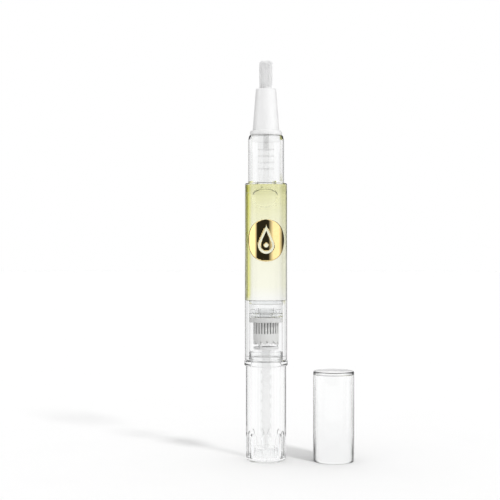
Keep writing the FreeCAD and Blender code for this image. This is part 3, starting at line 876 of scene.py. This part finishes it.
def white_in_glass(material):
    """Let clear plastic refract a plain white in place of the material, and mirror grey behind the pen."""
    tree = material.node_tree
    start = Wire(tree)
    output = tree.nodes["Material Output"]
    surface = Wire(tree, output.inputs["Surface"].links[0].from_socket)
    far = (own(start, "Y") / FLOOR_GREY_RISE).limited()
    mirrored = start.node("ShaderNodeLightPath", output="Is Glossy Ray") * far
    through = start.node("ShaderNodeLightPath", output="Is Transmission Ray")
    for taken, strength in ((mirrored, FLOOR_GREY), (through, 1.0)):
        plain = start.node("ShaderNodeEmission", inputs={"Color": (1, 1, 1, 1), "Strength": strength})
        surface = start.node("ShaderNodeMixShader", inputs={0: taken, 1: surface, 2: plain})
    tree.links.new(surface.socket, output.inputs["Surface"])
    return material


floor_paper = white_in_glass(finish("floor_paper", floor_sockets))
floor_mesh = bmesh.new()
bmesh.ops.create_grid(floor_mesh, x_segments=1, y_segments=1, size=FLOOR_SIZE / 2)
floor = as_piece("floor", floor_mesh, floor_paper, smooth=False)

# Room round the pen, by direction. Each band has a middle, half a width and a soft edge, in degrees round
# the upright axis, and for OVERHEAD in shares of straight up. Reflections see a dark room with soft boxes
# and light from behind. Clear plastic refracts a white room with a few shades.
BACKDROP = 1.0
DARK_ROOM = 0.03
EDGE_LIGHT = 0.38
ROOM_LIGHT = 0.77
FRONT_HALF = (10.0, 148.0, 18.0)
STRAIGHT_BEHIND = (180.0, 9.0, 6.0)
SOFT_BOXES = (((-82.0, 17.0, 15.0), 1.7), ((57.0, 17.0, 26.0), 1.45))
SHADES = (((32.0, 5.0, 5.0), 0.12), ((69.0, 9.0, 5.0), 0.5))
OVERHEAD = (0.48, 0.14, 0.08)
OVERHEAD_SHADE = 0.92
REFRACTED_MIDDLE = 0.98
REFRACTED_SLANT = 0.04

world = bpy.data.worlds.new("studio")
bpy.context.scene.world = world
world.use_nodes = True
world.node_tree.nodes.clear()
air = Wire(world.node_tree)
direction = air.node("ShaderNodeTexCoord", output="Generated")
direction_x, direction_y, direction_z = (part_of(air, direction, axis) for axis in "XYZ")
turn_right = direction_x.math("ARCTAN2", direction_x, 0 - direction_y) * math.degrees(1)
lean = abs(direction_x).math("ARCTAN2", abs(direction_x), abs(direction_y)) * math.degrees(1)
overhead = soft_band(direction_z, *OVERHEAD)
behind = 1 - soft_band(turn_right, *FRONT_HALF)
straight_behind = soft_band(abs(turn_right), *STRAIGHT_BEHIND)
reflected = DARK_ROOM + behind * (1 - overhead) * EDGE_LIGHT
reflected = reflected + straight_behind * (1 - overhead) * (BACKDROP - EDGE_LIGHT)
for band, brightness in SOFT_BOXES:
    reflected = reflected + soft_band(turn_right, *band) * brightness
refracted = REFRACTED_MIDDLE + REFRACTED_SLANT * direction_x
for band, darkness in SHADES:
    refracted = refracted * (1 - darkness * soft_band(lean, *band))
refracted = refracted * (1 - OVERHEAD_SHADE * overhead)
paths = {
    name: air.node("ShaderNodeLightPath", output=name)
    for name in ("Is Camera Ray", "Is Glossy Ray", "Is Transmission Ray", "Diffuse Depth")
}
through = paths["Is Transmission Ray"]
mirrored = paths["Is Glossy Ray"] * (1 - through)
lit = paths["Diffuse Depth"].limited()
bent = through * refracted + mirrored * reflected + (1 - through) * (1 - mirrored) * ROOM_LIGHT
room = (1 - lit) * bent + lit * ROOM_LIGHT
seen = paths["Is Camera Ray"]
strength = seen * BACKDROP + (1 - seen) * room
background = air.node("ShaderNodeBackground", inputs={"Color": (1, 1, 1, 1), "Strength": strength})
air.node("ShaderNodeOutputWorld", inputs={"Surface": background}, output=None)

# Card at the right behind the barrel, olive and yellow and soft at all its edges. Only clear plastic
# and oil refract it: the left side of the oil looks at it, as a lens does.
CARD_OLIVE = (0.27, 0.277, 0.0, 1.0)
CARD_YELLOW = (0.82, 0.82, 0.22, 1.0)
CARD_STEPS = 24
card_radius = 62.0 * MM
card_low, card_high = 49.0 * MM, 91.0 * MM
card_fade = 3.0 * MM
card_start, card_end = 24.0, 84.0
CARD_BAND = (50.0, 15.0, 10.0)
OLIVE_START = 37.0
OLIVE_RISE = 5.0


def soft_card(name):
    """A material that gives off olive and yellow in the middle of the card and fades out to its edges."""
    material = bpy.data.materials.new(name)
    material.use_nodes = True
    tree = material.node_tree
    tree.nodes.clear()
    start = Wire(tree)
    sideways = own(start, "X")
    angle = sideways.math("ARCTAN2", sideways, own(start, "Y")) * math.degrees(1)
    half_height = (card_high - card_low) / 2
    tall = soft_band(own(start, "Z"), card_low + half_height, half_height - card_fade, card_fade)
    strength = soft_band(angle, *CARD_BAND) * tall
    colour = ((angle - OLIVE_START) / OLIVE_RISE).limited().blend(CARD_YELLOW, CARD_OLIVE)
    clear = start.node("ShaderNodeBsdfTransparent")
    glow = start.node("ShaderNodeEmission", inputs={"Color": colour})
    mixed = start.node("ShaderNodeMixShader", inputs={0: strength, 1: clear, 2: glow})
    start.node("ShaderNodeOutputMaterial", inputs={"Surface": mixed}, output=None)
    return material


card_mesh = bmesh.new()
card_sides = []
for step in range(CARD_STEPS + 1):
    angle = math.radians(card_start + (card_end - card_start) * step / CARD_STEPS)
    corner = (card_radius * math.sin(angle), card_radius * math.cos(angle))
    card_sides.append([card_mesh.verts.new((*corner, height)) for height in (card_low, card_high)])
for side, after in zip(card_sides, card_sides[1:]):
    card_mesh.faces.new((side[0], after[0], after[1], side[1]))
card = as_piece("olive_card", card_mesh, soft_card("olive_card"))
card.visible_camera = False
card.visible_diffuse = False
card.visible_glossy = False
card.visible_shadow = False

key_data = bpy.data.lights.new("key_lamp", "SUN")
key_data.angle = math.radians(9)
key_data.energy = 1.15
key_lamp = bpy.data.objects.new("key_lamp", key_data)
key_lamp.location = (0.265, -0.315, 0.40)
key_lamp.rotation_euler = (Vector((0.0, 0.0, 0.0)) - key_lamp.location).to_track_quat("-Z", "Y").to_euler()
key_lamp.visible_glossy = False
key_lamp.visible_transmission = False
bpy.context.scene.collection.objects.link(key_lamp)

camera_data = bpy.data.cameras.new("camera")
camera_data.sensor_width = 36.0
camera_data.lens = 78.1
camera_data.clip_start = 0.01
camera = bpy.data.objects.new("camera", camera_data)
camera.location = (-0.00494, -0.335, 0.0648)
camera.rotation_euler = (math.pi / 2, 0, 0)
bpy.context.scene.collection.objects.link(camera)
bpy.context.scene.camera = camera
bpy.context.scene.view_settings.view_transform = "Standard"
